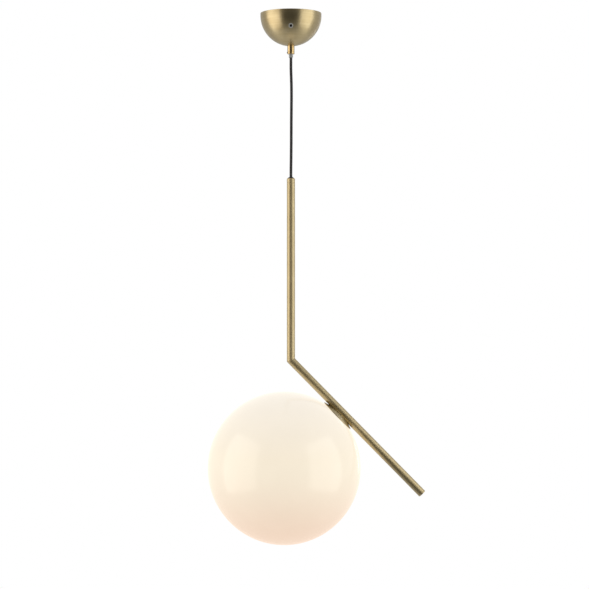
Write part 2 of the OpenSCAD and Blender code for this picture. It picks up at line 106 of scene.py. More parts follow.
# The hanging cord, from below its second pivot down to the stem
CORD_ROUTE = [
    (0, 0, 0), (0.3, 0, -12), (0.7, 0, -24), (1, 0, -36), (1.1, 0, -48), (1.1, 0, -60),
    (1, 0, -72), (0.9, 0, -84), (0.8, 0, -96), (0.7, 0, -108), (0.7, 0, -120), (0.6, 0, -132),
    (0.6, 0, -144), (0.5, 0, -156), (0.4, 0, -168), (0.3, 0, -180), (0.1, 0, -193), (0, 0, -204),
    (0, 0, -213),
]

TUBE_R = half_width("stem_tube", 1)
TUBE_WALL = 1.3
TUBE_BORE = TUBE_R - TUBE_WALL
STEM_TOP = corners("stem_cap")[1].z
SPIGOT_BOTTOM = corners("stem_cap")[0].z
STEM_CAP_BOTTOM = corners("stem_tube")[1].z
BUSH_H = 3.5
SHANK_R = TUBE_BORE - 2
SHANK_BOTTOM = corners("stem_bush")[0].z
ARM_ANGLE = math.radians(45.5)
MITRE = math.tan((math.pi / 2 - ARM_ANGLE) / 2)
BEND_Z = corners("stem_tube")[0].z + TUBE_R * MITRE
ARM_LEN = 368
ARM_END_T = 2
ARM_PLUG = 5

GLOBE_LOW = corners("globe_glass")[0]
GLOBE_R = half_width("globe_glass", 1)
GLOBE_CENTRE = Vector((GLOBE_LOW.x + GLOBE_R, 0, GLOBE_LOW.z + GLOBE_R))
GLASS_WALL = 3.5
MOUTH_R = 33
ARM_H = GLOBE_R + TUBE_R
FITTER_R = 36.5
FITTER_WALL = 1.2
FITTER_GAP = 0.4
FITTER_TOP = GLOBE_R + 3.5
FITTER_BOW = FITTER_TOP - ball_h(GLOBE_R, FITTER_R) - FITTER_GAP - FITTER_WALL
FITTER_BALL_R = (FITTER_R**2 + FITTER_BOW**2) / (2 * FITTER_BOW)
FITTER_BALL_H = FITTER_TOP - FITTER_BALL_R

RING_R = MOUTH_R - GAP
RING_BORE = RING_R - 2.6
RING_TOP = ball_h(GLOBE_R, MOUTH_R) - 0.6
RING_LIP_R = MOUTH_R + 1.7
RING_LIP_H = 2
RING_LIP_TOP = ball_h(GLOBE_R - GLASS_WALL, RING_LIP_R) - GAP
RING_BOTTOM = RING_LIP_TOP - 12
CLIP_PLATE = RING_TOP - 3
NIPPLE_NUT = 3
NIPPLE_BOTTOM = CLIP_PLATE - NIPPLE_NUT - 12
HOLDER_R = 18.5
HOLDER_WALL = 1.6
HOLDER_NECK = 8
SHOULDER = NIPPLE_BOTTOM - 6
SKIRT_BOTTOM = SHOULDER - 10
HOLDER_SLEEVE_TOP = SKIRT_BOTTOM + 4
HOLDER_BOTTOM = HOLDER_SLEEVE_TOP - 28
THREAD_PITCH = 3.6
CONTACT_T = 0.6
CONTACT_DROP = 3
LAMP_CAP_R = 13.2
SHELL_BORE = LAMP_CAP_R + 0.4
LAMP_TOP = HOLDER_SLEEVE_TOP - CONTACT_DROP - CONTACT_T - MOVE_GAP
LAMP_R = 22.5
LAMP_LEN = 78
LAMP_BALL = LAMP_TOP - LAMP_LEN + LAMP_R
LAMP_CAP_TOP = LAMP_TOP - 4
LAMP_NECK = LAMP_CAP_TOP - 21

# Frames of the pieces that lean: the globe's has +Z to its cap, and the arm's has +Z along the arm
ON_GLOBE = Matrix.Translation(GLOBE_CENTRE * MM) @ Matrix.Rotation(ARM_ANGLE, 4, "Y")
ON_ARM = Matrix.Translation((0, 0, BEND_Z * MM)) @ Matrix.Rotation(ARM_ANGLE + math.pi / 2, 4, "Y")


# Colours


def linear(text):
    """An sRGB colour such as #C9AE78 as linear red, green, blue and alpha."""
    parts = [int(text[i : i + 2], 16) / 255 for i in (1, 3, 5)]
    return tuple(c / 12.92 if c <= 0.04045 else ((c + 0.055) / 1.055) ** 2.4 for c in parts) + (1,)


# Sizes and colours that a user may change


class StageSettings(bpy.types.PropertyGroup):
    eye: FloatVectorProperty(
        name="Camera Place",
        description="Where the camera stands",
        default=(0.007, -3.37, -0.5568),
        subtype="TRANSLATION",
        unit="LENGTH",
    )
    tilt: FloatProperty(
        name="Camera Tilt",
        description="Angle of the camera above level",
        default=0.0013,
        subtype="ANGLE",
        unit="ROTATION",
    )
    lens: FloatProperty(
        name="Lens", description="Focal length of the camera, in mm", default=104.8, min=20, max=300
    )
    floor_z: FloatProperty(
        name="Floor Height",
        description="Height of the floor",
        default=-1.9,
        subtype="DISTANCE",
        unit="LENGTH",
    )
    floor_r: FloatProperty(
        name="Floor Radius",
        description="Radius of the round floor",
        default=4.2,
        subtype="DISTANCE",
        unit="LENGTH",
    )
    softbox_left: FloatProperty(
        name="Left Softbox", description="Power of the left softbox, in watts", default=33, min=0, max=500
    )
    softbox_right: FloatProperty(
        name="Right Softbox", description="Power of the right softbox, in watts", default=30, min=0, max=500
    )
    strip: FloatProperty(
        name="Strip Light", description="Power of the rear strip, in watts", default=0.9, min=0, max=100
    )
    room_front: FloatProperty(
        name="Room In Front",
        description="Brightness of the room before the light",
        default=0.055,
        min=0,
        max=2,
    )
    room_behind: FloatProperty(
        name="Room Behind", description="Brightness of the room behind the light", default=0.5, min=0, max=2
    )
    room_above: FloatProperty(
        name="Room Above", description="Extra brightness towards the ceiling", default=0.15, min=0, max=2
    )
    room_below: FloatProperty(
        name="Room Below", description="Extra brightness towards the floor", default=0.12, min=0, max=2
    )
    floor_colour: StringProperty(
        name="Floor Colour", description="Colour of the floor, sRGB hex", default="#F3F2F0"
    )


class MetalSettings(bpy.types.PropertyGroup):
    brass_light: StringProperty(
        name="Brass, Light", description="Lighter tone of the satin brass, sRGB hex", default="#D3C39B"
    )
    brass_dark: StringProperty(
        name="Brass, Dark", description="Darker tone of the satin brass, sRGB hex", default="#BEAB80"
    )
    brass_bright: StringProperty(
        name="Brass, Polished", description="Colour of the polished brass, sRGB hex", default="#D2B98A"
    )
    brush_pitch: FloatProperty(
        name="Brush Line Pitch",
        description="Distance between the brush lines of the satin brass",
        default=0.0009,
        precision=5,
        subtype="DISTANCE",
        unit="LENGTH",
    )
    satin: FloatProperty(
        name="Satin Roughness",
        description="Roughness of the satin brass",
        default=0.36,
        min=0,
        max=1,
        subtype="FACTOR",
    )
    steel: StringProperty(name="Steel", description="Colour of the bright steel, sRGB hex", default="#B9B9B6")
    zinc: StringProperty(name="Zinc", description="Colour of the zinc plating, sRGB hex", default="#C3C8CC")


class GlassSettings(bpy.types.PropertyGroup):
    opal: StringProperty(
        name="Opal Glass", description="Colour of the opal glass, sRGB hex", default="#6F6E6A"
    )
    glow_top: StringProperty(
        name="Glow, Top", description="Glow at the globe's top, sRGB hex", default="#F7EEE1"
    )
    glow_middle: StringProperty(
        name="Glow, Middle", description="Glow at the lamp's height, sRGB hex", default="#FAEDD7"
    )
    glow_bottom: StringProperty(
        name="Glow, Bottom", description="Glow at the globe's bottom, sRGB hex", default="#ECCEB6"
    )
    glow: FloatProperty(name="Glow", description="Strength of the globe's glow", default=0.86, min=0, max=5)
    lamp_glow: FloatProperty(
        name="Lamp Glow", description="Strength of the lamp's light", default=0.72, min=0, max=50
    )


class PlasticSettings(bpy.types.PropertyGroup):
    sheath: StringProperty(
        name="Cord", description="Colour of the cord's sheath, sRGB hex", default="#232225"
    )
    black: StringProperty(
        name="Black Plastic", description="Colour of the stem's bush, sRGB hex", default="#141315"
    )
    phenolic: StringProperty(
        name="Phenolic", description="Colour of the lampholder, sRGB hex", default="#1B1715"
    )
    white: StringProperty(
        name="White Plastic", description="Colour of the terminal block, sRGB hex", default="#E9E6DC"
    )
    sides: IntProperty(name="Cord Sides", description="Faces around the cord", default=28, min=8, max=64)


class PendantSettings(bpy.types.PropertyGroup):
    stage: PointerProperty(type=StageSettings)
    metal: PointerProperty(type=MetalSettings)
    glass: PointerProperty(type=GlassSettings)
    plastic: PointerProperty(type=PlasticSettings)


# Shapes


def softened(outline, radius=0.3, steps=3, loop=True):
    """The outline with each sharp corner rounded. A third number gives a corner its own radius."""
    made = []
    count = len(outline)
    for i, corner in enumerate(outline):
        here = Vector(corner[:2])
        cut = corner[2] if len(corner) > 2 else radius
        if not loop and i in (0, count - 1):
            made.append(tuple(here))
            continue
        before = Vector(outline[i - 1][:2]) - here
        after = Vector(outline[(i + 1) % count][:2]) - here
        straight = before.length < 1e-6 or after.length < 1e-6 or before.angle(after) > math.radians(155)
        if straight or cut == 0:
            made.append(tuple(here))
            continue
        near = min(cut, 0.4 * before.length, 0.4 * after.length)
        a, b = here + near * before.normalized(), here + near * after.normalized()
        made.append(tuple(a + 0.2 * near * before.normalized()))
        for k in range(steps + 1):
            t = k / steps
            made.append(tuple(a * (1 - t) ** 2 + 2 * here * t * (1 - t) + b * t * t))
        made.append(tuple(b + 0.2 * near * after.normalized()))
    return made


def arc(radius, first, last, steps, centre_h=0):
    """Points on a ball's outline between two angles above level, in degrees."""
    angles = [math.radians(first + (last - first) * k / steps) for k in range(steps + 1)]
    return [(radius * math.cos(a), centre_h + radius * math.sin(a)) for a in angles]


def level(radius, x):
    """Angle above level where a ball's outline is x from its axis, in degrees."""
    return math.degrees(math.acos(x / radius))


def skin(name, rings, loop=False, place=None):
    """A mesh object over rings of points in millimetres, joined one to the next."""
    form = bmesh.new()
    rows = [[form.verts.new(Vector(p) * MM) for p in ring] for ring in rings]
    pairs = list(zip(rows, rows[1:])) + ([(rows[-1], rows[0])] if loop else [])
    for low, high in pairs:
        for i in range(len(low)):
            j = (i + 1) % len(low)
            form.faces.new((low[i], low[j], high[j], high[i]))
    bmesh.ops.remove_doubles(form, verts=form.verts, dist=1e-7)
    bmesh.ops.recalc_face_normals(form, faces=form.faces)
    for face in form.faces:
        face.smooth = True
    mesh = bpy.data.meshes.new(name)
    form.to_mesh(mesh)
    form.free()
    made = bpy.data.objects.new(name, mesh)
    bpy.context.scene.collection.objects.link(made)
    return put(made, place)


def put(made, place):
    """Moves a mesh to its place. The attribute own_place keeps where each point was before, so that brush
    lines follow a leaning piece, and round_way keeps the direction round the piece's own Z."""
    mesh = made.data
    for name in ("own_place", "round_way"):
        if name not in mesh.attributes:
            mesh.attributes.new(name, "FLOAT_VECTOR", "POINT")
    own, way = mesh.attributes["own_place"].data, mesh.attributes["round_way"].data
    turn = Matrix.Identity(3) if place is None else place.to_3x3()
    for i, vertex in enumerate(mesh.vertices):
        x, y = vertex.co.x, vertex.co.y
        own[i].vector = vertex.co
        way[i].vector = turn @ Vector((-y, x, 0 if x or y else 1)).normalized()
    if place is not None:
        mesh.transform(place)
    return made


def lathe(name, outline, sides=128, loop=True, place=None, flutes=0, flute_depth=0.0, flute_r=0.0):
    """A turned piece from its outline of radius and height. Flutes are cut where it is wider than flute_r."""
    rings = []
    for radius, height in outline:
        ring = []
        for k in range(sides):
            a = TAU * k / sides
            r = radius
            if flutes and radius > flute_r:
                r -= flute_depth * (0.5 - 0.5 * math.cos(flutes * a))
            ring.append((r * math.cos(a), r * math.sin(a), height))
        rings.append(ring)
    return skin(name, rings, loop, place)


def pierce(piece, x, z, radius, far):
    """Cuts a round hole along Y through both walls of a thin shell, where Y is far or more on its side."""
    form = bmesh.new()
    form.from_mesh(piece.data)

    def inside(point, reach):
        near = math.hypot(point.x / MM - x, point.z / MM - z) < reach
        return near and abs(point.y) / MM > abs(far) and point.y * far > 0

    cut = [f for f in form.faces if inside(f.calc_center_median(), radius)]
    bmesh.ops.delete(form, geom=cut, context="FACES")
    edges = [e for e in form.edges if e.is_boundary and inside(e.verts[0].co, 2 * radius)]
    for vertex in {v for e in edges for v in e.verts}:
        ball = vertex.co.x**2 + vertex.co.y**2 + (vertex.co.z + CANOPY_LIP * MM) ** 2
        out = Vector((vertex.co.x - x * MM, 0, vertex.co.z - z * MM)).normalized() * radius * MM
        px, pz = out.x + x * MM, out.z + z * MM
        py = math.sqrt(ball - px**2 - (pz + CANOPY_LIP * MM) ** 2)
        vertex.co = (px, math.copysign(py, far), pz)
    for edge in edges:
        edge.smooth = False
    for face in bmesh.ops.bridge_loops(form, edges=edges)["faces"]:
        face.smooth = False
    bmesh.ops.recalc_face_normals(form, faces=form.faces)
    form.to_mesh(piece.data)
    form.free()
    put(piece, None)


def screwed(name, crest_r, depth, wall, pitch, low, high, place, sides=96):
    """A thin rolled sleeve with a round screw thread."""
    steps = int((high - low) / pitch * 12)
    outside, inside = [], []
    for i in range(steps + 1):
        height = low + (high - low) * i / steps
        fade = min(1, 8 * i / steps, 8 * (steps - i) / steps)
        outer, inner = [], []
        for k in range(sides):
            a = TAU * k / sides
            r = crest_r - depth * fade * (0.5 - 0.5 * math.cos(TAU * height / pitch - a))
            outer.append((r * math.cos(a), r * math.sin(a), height))
            inner.append(((r - wall) * math.cos(a), (r - wall) * math.sin(a), height))
        outside.append(outer)
        inside.append(inner)
    return skin(name, outside + inside[::-1], True, place)


def tube(name, radius, bore, start, finish, slope, place=None, sides=128):
    """A tube along its own Z, cut to a mitre at its start and square at its finish, with its edges eased."""
    ease = 0.25
    # Radius, height, and 1 where the ring slopes with the mitre
    outline = [
        (radius - ease, start, 1), (radius, start + ease, 1), (radius, start + 3 * ease, 1),
        (radius, start * 0.75 + finish * 0.25, 0), (radius, (start + finish) / 2, 0),
        (radius, start * 0.25 + finish * 0.75, 0), (radius, finish - 3 * ease, 0),
        (radius, finish - ease, 0), (radius - ease, finish, 0), (bore, finish, 0), (bore, start, 1),
    ]
    angles = [TAU * k / sides for k in range(sides)]
    rings = []
    for r, height, cut in outline:
        rise = cut * slope * r
        rings.append([(r * math.cos(a), r * math.sin(a), height + rise * math.cos(a)) for a in angles])
    return skin(name, rings, True, place)


def round_bar(name, points, radius, sides, closed=False, place=None):
    """A round bar or bead along points in millimetres, with closed ends where it isn't a loop."""
    path = [Vector(p) for p in points]
    last = len(path) - 1
    rings = []
    for i, here in enumerate(path):
        after = path[(i + 1) % len(path)] if closed else path[min(i + 1, last)]
        before = path[i - 1] if closed else path[max(i - 1, 0)]
        along = (after - before).normalized()
        side = Vector((0, 1, 0)) if abs(along.y) < 0.9 else Vector((0, 0, 1))
        u = side.cross(along).normalized()
        v = along.cross(u)
        angles = [TAU * k / sides for k in range(sides)]
        rings.append([here + radius * (math.cos(a) * u + math.sin(a) * v) for a in angles])
    if not closed:
        rings = [[path[0]] * sides] + rings + [[path[-1]] * sides]
    return skin(name, rings, closed, place)


def smooth_route(points, step):
    """A smooth line through the points, with a point about every step."""
    p = [Vector(q) for q in points]
    p = [2 * p[0] - p[1]] + p + [2 * p[-1] - p[-2]]
    made = []
    for i in range(1, len(p) - 2):
        count = max(1, round((p[i + 1] - p[i]).length / step))
        for k in range(count):
            t = k / count
            a, b, c, d = p[i - 1 : i + 3]
            slope, bow, twist = c - a, 2 * a - 5 * b + 4 * c - d, 3 * b - a - 3 * c + d
            made.append(0.5 * (2 * b + slope * t + bow * t * t + twist * t**3))
    return made + [p[-2]]


# Materials


def add(material, kind, feeds=None, **settings):
    """Adds one shader node, with its settings and with values or links for its sockets."""
    tree = material.node_tree
    made = tree.nodes.new("ShaderNode" + kind)
    for key, value in settings.items():
        setattr(made, key, value)
    for key, value in (feeds or {}).items():
        if isinstance(value, bpy.types.NodeSocket):
            tree.links.new(value, made.inputs[key])
        else:
            made.inputs[key].default_value = value
    return made


def blank(owner, name):
    """A new material or world with no nodes yet."""
    made = owner.new(name)
    made.use_nodes = True
    made.node_tree.nodes.clear()
    return made


# Each function below fills a material and gives back its surface node. Scales are one over a size in metres.


def brushed_brass(m, turned):
    """Antique brass, satin brushed and lacquered: fine lines that run round a turned piece or along a drawn
    tube, and a slow drift of tone. The lines break a reflection into soft stripes."""
    metal = bpy.context.scene.pendant.metal
    satin = metal.satin if turned else metal.satin + 0.08
    place = add(m, "Attribute", attribute_name="own_place").outputs["Vector"]
    if turned:
        split = add(m, "SeparateXYZ", {0: place}).outputs
        flat = add(m, "CombineXYZ", {0: split[0], 1: split[1]}).outputs[0]
        across = add(m, "VectorMath", {0: flat}, operation="LENGTH").outputs["Value"]
        lines = add(m, "CombineXYZ", {0: across, 1: split[2]}).outputs[0]
        drift = add(m, "VectorMath", {0: place, 1: (0.02, 0.02, 0), 2: lines}, operation="MULTIPLY_ADD")
    else:
        drift = add(m, "VectorMath", {0: place, 1: (1, 1, 0.0015)}, operation="MULTIPLY")
    drift = drift.outputs[0]
    # Real lines are 0.1 to 0.2 mm apart; these are drawn coarser so that they show
    pitch = metal.brush_pitch
    strokes = {"Vector": drift, "Scale": 1 / pitch, "Detail": 4, "Roughness": 0.65}
    fine = add(m, "TexNoise", strokes).outputs[0]
    broad = add(m, "TexNoise", {"Vector": drift, "Scale": 0.22 / pitch, "Detail": 2}).outputs[0]
    # Patina drifts over about 30 mm
    patina = add(m, "TexNoise", {"Vector": place, "Scale": 1 / 0.03, "Detail": 3}).outputs[0]
    both = add(m, "Math", {0: fine, 1: 0.55, 2: broad}, operation="MULTIPLY_ADD").outputs[0]
    tone = add(m, "Math", {0: both, 1: 0.5, 2: patina}, operation="MULTIPLY_ADD").outputs[0]
    least, most = (0, 1) if turned else (0.35, 0.75)
    shade = add(m, "MapRange", {0: tone, 1: 0.65, 2: 1.15, 3: least, 4: most}).outputs[0]
    dark, light = linear(metal.brass_dark), linear(metal.brass_light)
    colour = add(m, "Mix", {0: shade, 6: dark, 7: light}, data_type="RGBA")
    rough = add(m, "MapRange", {0: both, 1: 0.5, 2: 1.1, 3: satin + 0.05, 4: satin - 0.05})
    feeds = {
        "Base Color": colour.outputs[2],
        "Metallic": 1,
        "Roughness": rough.outputs[0],
        "Normal": add(m, "Bump", {"Strength": 0.14, "Distance": 0.00005, "Height": both}).outputs[0],
        # A reflection spreads across the lines: down a turned piece, and round a drawn tube
        "Anisotropic": 0.6 if turned else 0.5,
        "Anisotropic Rotation": 0.25 if turned else 0,
        "Tangent": add(m, "Attribute", attribute_name="round_way").outputs["Vector"],
        "Coat Weight": 0.45,
        "Coat Roughness": 0.2,
    }
    return add(m, "BsdfPrincipled", feeds)


def bright_metal(m, colour, rough, line_pitch, dull):
    """Polished or plated metal: a clean reflection, with fine turning marks and dull spots from handling."""
    place = add(m, "TexCoord").outputs["Object"]
    marks = add(m, "TexNoise", {"Vector": place, "Scale": 1 / line_pitch, "Detail": 4}).outputs[0]
    spots = add(m, "TexNoise", {"Vector": place, "Scale": 1 / 0.006, "Detail": 3}).outputs[0]
    worn = add(m, "MapRange", {0: spots, 1: 0.42, 2: 0.7, 3: 0, 4: 1}).outputs[0]
    tint = add(m, "Mix", {0: worn, 6: linear(colour), 7: linear(dull)}, data_type="RGBA").outputs[2]
    spread = add(m, "Math", {0: worn, 1: 0.12, 2: rough}, operation="MULTIPLY_ADD").outputs[0]
    bump = add(m, "Bump", {"Strength": 0.2, "Distance": 0.00002, "Height": marks}).outputs[0]
    feeds = {"Base Color": tint, "Metallic": 1, "Roughness": spread, "Normal": bump}
    return add(m, "BsdfPrincipled", feeds)


def zinc_plate(m, colour):
    """Steel sheet, cut and zinc plated: bluish grey with the faint crystal patches of the plating."""
    place = add(m, "TexCoord").outputs["Object"]
    # Plating patches are 2 to 4 mm across
    patches = add(m, "TexVoronoi", {"Vector": place, "Scale": 1 / 0.003}, feature="F1").outputs["Distance"]
    grain = add(m, "TexNoise", {"Vector": place, "Scale": 1 / 0.0006, "Detail": 3}).outputs[0]
    shade = add(m, "Math", {0: grain, 1: 0.6, 2: patches}, operation="MULTIPLY_ADD").outputs[0]
    tint = add(m, "Mix", {0: shade, 6: linear(colour), 7: linear("#8E9499")}, data_type="RGBA").outputs[2]
    rough = add(m, "MapRange", {0: shade, 1: 0, 2: 1.2, 3: 0.28, 4: 0.5}).outputs[0]
    bump = add(m, "Bump", {"Strength": 0.2, "Distance": 0.00004, "Height": grain}).outputs[0]
    return add(m, "BsdfPrincipled", {"Base Color": tint, "Metallic": 1, "Roughness": rough, "Normal": bump})


def moulded(m, colour, rough, grain_pitch, bump_height, ior=1.5, mottle=0.06):
    """Moulded or extruded plastic, phenolic or glazed ceramic: a fine skin texture and a little mottle."""
    base = linear(colour)
    pale = tuple(min(1, c * (1 + 3 * mottle) + mottle * 0.05) for c in base[:3]) + (1,)
    place = add(m, "TexCoord").outputs["Object"]
    grain = add(m, "TexNoise", {"Vector": place, "Scale": 1 / grain_pitch, "Detail": 4}).outputs[0]
    cloud = add(m, "TexNoise", {"Vector": place, "Scale": 1 / 0.008, "Detail": 2}).outputs[0]
    shade = add(m, "MapRange", {0: cloud, 1: 0.35, 2: 0.7}).outputs[0]
    tint = add(m, "Mix", {0: shade, 6: base, 7: pale}, data_type="RGBA").outputs[2]
    spread = add(m, "MapRange", {0: grain, 1: 0.3, 2: 0.7, 3: rough - 0.05, 4: rough + 0.07}).outputs[0]
    bump = add(m, "Bump", {"Strength": 0.5, "Distance": bump_height, "Height": grain}).outputs[0]
    return add(m, "BsdfPrincipled", {"Base Color": tint, "Roughness": spread, "IOR": ior, "Normal": bump})


def striped_insulation(m):
    """PVC insulation of an earth core: green with a yellow stripe down each side."""
    place = add(m, "TexCoord").outputs
    side = add(m, "SeparateXYZ", {0: place["Normal"]}).outputs[1]
    width = add(m, "Math", {0: side}, operation="ABSOLUTE").outputs[0]
    stripe = add(m, "MapRange", {0: width, 1: 0.66, 2: 0.72}).outputs[0]
    tint = add(m, "Mix", {0: stripe, 6: linear("#1F7A3B"), 7: linear("#D9C02A")}, data_type="RGBA").outputs[2]
    grain = add(m, "TexNoise", {"Vector": place["Object"], "Scale": 1 / 0.0005, "Detail": 3}).outputs[0]
    spread = add(m, "MapRange", {0: grain, 3: 0.35, 4: 0.48}).outputs[0]
    bump = add(m, "Bump", {"Strength": 0.3, "Distance": 0.00003, "Height": grain}).outputs[0]
    return add(m, "BsdfPrincipled", {"Base Color": tint, "Roughness": spread, "IOR": 1.53, "Normal": bump})


def cord_sheath(m):
    """Extruded black PVC sheath: soft sheen, with faint lengthwise drag lines and the slow rise and fall that
    the twisted cores press through it."""
    base = linear(bpy.context.scene.pendant.plastic.sheath)
    place = add(m, "TexCoord").outputs["Object"]
    drawn = add(m, "VectorMath", {0: place, 1: (1, 1, 0.05)}, operation="MULTIPLY").outputs[0]
    drag = add(m, "TexNoise", {"Vector": drawn, "Scale": 1 / 0.0005, "Detail": 3}).outputs[0]
    # The cores twist once in about 60 mm, so three of them rise every 20 mm
    turns = {"Vector": place, "Scale": 0.31 / 0.02, "Distortion": 1.5, "Detail": 1}
    lay = add(m, "TexWave", turns, bands_direction="DIAGONAL").outputs["Fac"]
    height = add(m, "Math", {0: lay, 1: 0.8, 2: drag}, operation="MULTIPLY_ADD").outputs[0]
    bump = add(m, "Bump", {"Strength": 0.25, "Distance": 0.00005, "Height": height}).outputs[0]
    dust = add(m, "TexNoise", {"Vector": place, "Scale": 1 / 0.01, "Detail": 4}).outputs[0]
    shade = add(m, "MapRange", {0: dust, 1: 0.4, 2: 0.75, 3: 0, 4: 0.4}).outputs[0]
    tint = add(m, "Mix", {0: shade, 6: base, 7: linear("#35343A")}, data_type="RGBA").outputs[2]
    spread = add(m, "MapRange", {0: drag, 3: 0.48, 4: 0.6}).outputs[0]
    return add(m, "BsdfPrincipled", {"Base Color": tint, "Roughness": spread, "IOR": 1.53, "Normal": bump})


def clear_plastic(m):
    """Clear PVC sleeve, hazy: it scatters light, so it looks pale grey round the dark cord."""
    place = add(m, "TexCoord").outputs["Object"]
    flow = add(m, "TexNoise", {"Vector": place, "Scale": 1 / 0.0012, "Detail": 2}).outputs[0]
    feeds = {
        "Base Color": linear("#D9DEE2"),
        "Roughness": add(m, "MapRange", {0: flow, 3: 0.3, 4: 0.42}).outputs[0],
        "IOR": 1.53,
        "Transmission Weight": 0.6,
        "Normal": add(m, "Bump", {"Strength": 0.2, "Distance": 0.00003, "Height": flow}).outputs[0],
    }
    return add(m, "BsdfPrincipled", feeds)


def opal_glass(m):
    """Blown opal glass, glossy and lit from inside: soft reflections over a warm white glow, with the faint
    cloud and waviness of blown glass. Most light passes through it, so its own body is only mid grey."""
    glass = bpy.context.scene.pendant.glass
    place = add(m, "TexCoord").outputs["Object"]
    cloud = add(m, "TexNoise", {"Vector": place, "Scale": 1 / 0.06, "Detail": 3}).outputs[0]
    shade = add(m, "MapRange", {0: cloud, 1: 0.35, 2: 0.7}).outputs[0]
    body = add(m, "Mix", {0: shade, 6: linear(glass.opal), 7: linear("#767571")}, data_type="RGBA")
    # The light turns from white above the lamp to peach at the bottom, over the whole 300 mm
    height = add(m, "SeparateXYZ", {0: place}).outputs[2]
    middle = GLOBE_CENTRE.z * MM
    upper = add(m, "MapRange", {0: height, 1: middle + 0.14, 2: middle + 0.03}).outputs[0]
    fall = {0: height, 1: middle + 0.02, 2: middle - 0.145}
    lower = add(m, "MapRange", fall, interpolation_type="SMOOTHSTEP").outputs[0]
    top, centre, bottom = linear(glass.glow_top), linear(glass.glow_middle), linear(glass.glow_bottom)
    above = add(m, "Mix", {0: upper, 6: top, 7: centre}, data_type="RGBA").outputs[2]
    glow = add(m, "Mix", {0: lower, 6: above, 7: bottom}, data_type="RGBA")
    waves = add(m, "TexNoise", {"Vector": place, "Scale": 1 / 0.035, "Detail": 1}).outputs[0]
    feeds = {
        "Base Color": body.outputs[2],
        "Roughness": 0.19,
        "IOR": 1.5,
        "Normal": add(m, "Bump", {"Strength": 0.06, "Distance": 0.001, "Height": waves}).outputs[0],
        "Emission Color": glow.outputs[2],
        "Emission Strength": glass.glow,
    }
    return add(m, "BsdfPrincipled", feeds)


def frosted_glass(m):
    """Lamp glass, frosted inside and lit: an even warm glow under a slightly grainy skin."""
    place = add(m, "TexCoord").outputs["Object"]
    frost = add(m, "TexNoise", {"Vector": place, "Scale": 1 / 0.0008, "Detail": 4}).outputs[0]
    middle = ON_GLOBE @ Vector((0, 0, LAMP_BALL * MM))
    depth = add(m, "VectorMath", {0: place, 1: middle}, operation="DISTANCE").outputs["Value"]
    neck = add(m, "MapRange", {0: depth, 1: 0.022, 2: 0.034}, interpolation_type="SMOOTHSTEP").outputs[0]
    glow = add(m, "Mix", {0: neck, 6: linear("#FFE6C2"), 7: linear("#E8B070")}, data_type="RGBA")
    feeds = {
        "Base Color": linear("#8B8983"),
        "Roughness": add(m, "MapRange", {0: frost, 3: 0.3, 4: 0.5}).outputs[0],
        "IOR": 1.52,
        "Emission Color": glow.outputs[2],
        "Emission Strength": bpy.context.scene.pendant.glass.lamp_glow,
    }
    return add(m, "BsdfPrincipled", feeds)


def finish_of(slot):
    """The material for a slot of the record, made when it is first asked for."""
    metal, plastic = bpy.context.scene.pendant.metal, bpy.context.scene.pendant.plastic
    # Name, the function that fills it, and that function's values
    finishes = {
        "satin_brass": ("brass_satin_turned", brushed_brass, True),
        "satin_brass_tube": ("brass_satin_drawn", brushed_brass, False),
        "polished_brass": ("brass_polished", bright_metal, metal.brass_bright, 0.2, 0.0006, "#B99A66"),
        "bright_steel": ("steel_machined", bright_metal, metal.steel, 0.22, 0.0005, "#8F8F8D"),
        "zinc_steel": ("steel_zinc_plated", zinc_plate, metal.zinc),
        "black_steel": ("black_oxide_steel", bright_metal, "#3B3B3E", 0.32, 0.0004, "#2A2A2C"),
        "satin_nickel": ("nickel_plate_satin", bright_metal, "#DCDCDA", 0.55, 0.0004, "#B4B4B2"),
        "nickel": ("nickel_plate", bright_metal, "#C6C2B8", 0.16, 0.0006, "#A6A298"),
        "ring_aluminium": ("turned_aluminium", bright_metal, "#D5D6D8", 0.26, 0.0005, "#B4B5B7"),
        "clear_plastic": ("clear_pvc", clear_plastic),
        "cord_sheath": ("black_pvc_sheath", cord_sheath),
        "brown_insulation": ("brown_pvc", moulded, "#5A3118", 0.4, 0.0005, 0.00003, 1.53),
        "blue_insulation": ("blue_pvc", moulded, "#1F5BA8", 0.4, 0.0005, 0.00003, 1.53),
        "earth_insulation": ("green_yellow_pvc", striped_insulation),
        "white_plastic": ("white_polyamide", moulded, plastic.white, 0.42, 0.0006, 0.00004, 1.53),
        "black_plastic": ("black_polyamide", moulded, plastic.black, 0.38, 0.0006, 0.00003, 1.53),
        "black_phenolic": (
            "phenolic_black_moulded", moulded, plastic.phenolic, 0.28, 0.0009, 0.00003, 1.6, 0.12
        ),
        "glazed_ceramic": ("glazed_steatite", moulded, "#ECE7DA", 0.16, 0.004, 0.00005, 1.55),
        "opal_glass": ("glass_opal_blown", opal_glass),
        "frosted_glass": ("glass_frosted_lit", frosted_glass),
    }
    name, fill, *values = finishes[slot]
    if name in bpy.data.materials:
        return bpy.data.materials[name]
    m = blank(bpy.data.materials, name)
    add(m, "OutputMaterial", {0: fill(m, *values).outputs[0]})
    return m


def fit_out(piece, slot, body, *nodes, edge=None, above=0.0):
    """Gives a piece its material and slot, puts it on its body, and lets it stand for its CAD nodes. The
    material of its edge goes on the faces above a height in metres."""
    piece.data.materials.append(finish_of(slot))
    if edge is not None:
        piece.data.materials.append(finish_of(edge))
        for face in piece.data.polygons:
            if face.center.z > above:
                face.material_index = 1
    if body is not None:
        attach(piece, body)
    if nodes:
        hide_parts(*nodes)
    return piece


def dress(slot, *names):
    """Gives carried-over CAD nodes their material."""
    for name in names:
        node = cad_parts[name]
        if not node.material_slots:
            raise RuntimeError(name + " has no material slot")
        for holder in node.material_slots:
            holder.material = finish_of(slot)


# Operators


